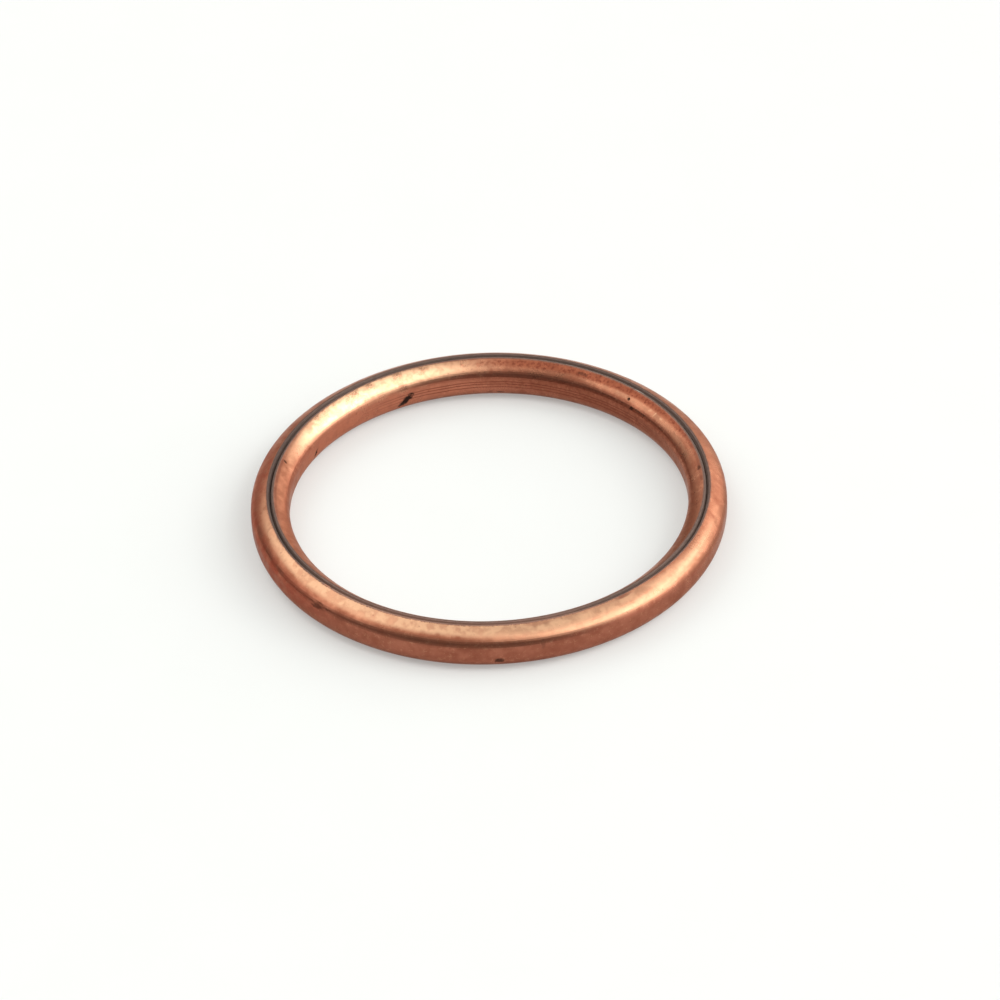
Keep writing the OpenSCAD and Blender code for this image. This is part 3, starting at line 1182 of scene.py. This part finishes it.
# %% [markdown]
# ## Light
# Polished metal shows what stands around it, so the light is laid out like a product table in a bright room.
# Two soft panels stand high on the right, a third hangs over the front, a large weak one fills the left, and
# a low dim one stands behind. The room around them is dimmer, which gives the thin dark line under each
# highlight. Each panel is given by the direction it shines from, the angle it fills, and its brightness,
# where 1 is white.

# %% Soft panels
PANEL_DISTANCE = 1.6

# Name, azimuth, elevation, width and height in degrees as seen from the ring, and brightness
PANELS = [
    ("right_panel", 2, 40, 32, 28, 3.5),
    ("high_right_panel", -36, 56, 34, 24, 2.95),
    ("high_front_panel", -130, 74, 50, 28, 1.45),
    ("left_panel", 150, 45, 70, 36, 1.6),
    ("low_back_panel", 122, 17, 30, 14, 0.85),
]


def direction(azimuth, elevation):
    """A unit vector, from angles in degrees."""
    level = math.cos(math.radians(elevation))
    x = level * math.cos(math.radians(azimuth))
    y = level * math.sin(math.radians(azimuth))
    return Vector((x, y, math.sin(math.radians(elevation))))


def soft_panel(name, azimuth, elevation, width_angle, height_angle, brightness):
    """A flat lamp, square to the line from the ring, that no camera ray sees."""
    light = bpy.data.lights.new(name, "AREA")
    light.shape = "RECTANGLE"
    light.size = 2 * PANEL_DISTANCE * math.tan(math.radians(width_angle / 2))
    light.size_y = 2 * PANEL_DISTANCE * math.tan(math.radians(height_angle / 2))
    light.energy = brightness * light.size * light.size_y * math.pi
    panel = bpy.data.objects.new(name, light)
    bpy.context.scene.collection.objects.link(panel)
    panel.visible_camera = False
    outward = direction(azimuth, elevation)
    turned = outward.to_track_quat("Z", "Y").to_matrix().to_4x4()
    panel.matrix_world = Matrix.Translation(outward * PANEL_DISTANCE) @ turned
    return panel


panels = [soft_panel(*panel) for panel in PANELS]
print("lamps, W:", {panel.name: round(panel.data.energy, 2) for panel in panels})

# %% [markdown]
# The room itself is a smooth glow, which leaves no shapes of its own in the copper. It is brightest low on
# the right, as if a window were there, and dies away to the left, towards the camera and upwards.

# %% Room glow
GLOW_TOWARDS = Vector((math.cos(math.radians(18)), math.sin(math.radians(18)), 0.27)).normalized()
GLOW_SPREAD = (0.35, 1.0)
GLOW_HEIGHT = (0.68, 0.48)
GLOW_STRENGTH = 2.2
ROOM_STRENGTH = 0.22


def build_room():
    world = bpy.data.worlds.new("studio")
    bpy.context.scene.world = world
    world.use_nodes = True
    tree = world.node_tree
    sky = tree.nodes.new("ShaderNodeTexCoord").outputs["Generated"]
    towards = add_node(tree, "ShaderNodeVectorMath", {"operation": "DOT_PRODUCT"})
    fill(tree, towards.inputs[0], sky)
    fill(tree, towards.inputs[1], GLOW_TOWARDS)
    near = eased(tree, towards.outputs["Value"], *GLOW_SPREAD)
    low = eased(tree, parts_of(tree, sky)["Z"], *GLOW_HEIGHT)
    glow = math_node(tree, "MULTIPLY", near, low)
    strength = math_node(tree, "MULTIPLY_ADD", glow, GLOW_STRENGTH, ROOM_STRENGTH)
    background = tree.nodes["Background"]
    background.inputs["Color"].default_value = (1, 1, 1, 1)
    tree.links.new(strength, background.inputs["Strength"])


build_room()
print("room from", ROOM_STRENGTH, "to", ROOM_STRENGTH + GLOW_STRENGTH)

# %% [markdown]
# ## Camera
# The photograph was taken from in front, 38 degrees above the table, with a long lens, so the ring hardly
# tapers towards the back. The small roll and shift put the ring where it lies in the picture.

# %% Camera
CAMERA_DISTANCE = 0.67
CAMERA_ELEVATION = math.radians(38.23)
CAMERA_ROLL = math.radians(-2.15)
LENS = 266.7
SENSOR = 36.0
SHIFT = (0.0104, 0.0210)


def build_camera():
    data = bpy.data.cameras.new("camera")
    data.lens = LENS
    data.sensor_width = SENSOR
    data.shift_x, data.shift_y = SHIFT
    camera = bpy.data.objects.new("camera", data)
    bpy.context.scene.collection.objects.link(camera)
    back = Vector((0, -math.cos(CAMERA_ELEVATION), math.sin(CAMERA_ELEVATION)))
    tilt = Matrix.Rotation(math.pi / 2 - CAMERA_ELEVATION, 4, "X")
    roll = Matrix.Rotation(CAMERA_ROLL, 4, "Z")
    camera.matrix_world = Matrix.Translation(back * CAMERA_DISTANCE) @ tilt @ roll
    return camera


bpy.context.scene.camera = build_camera()
bpy.context.scene.view_settings.view_transform = "Standard"
print("camera at, m:", [round(v, 3) for v in bpy.context.scene.camera.matrix_world.translation])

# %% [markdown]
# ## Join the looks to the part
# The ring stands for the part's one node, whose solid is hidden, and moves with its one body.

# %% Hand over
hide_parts("folded_ring")
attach(ring, "root")
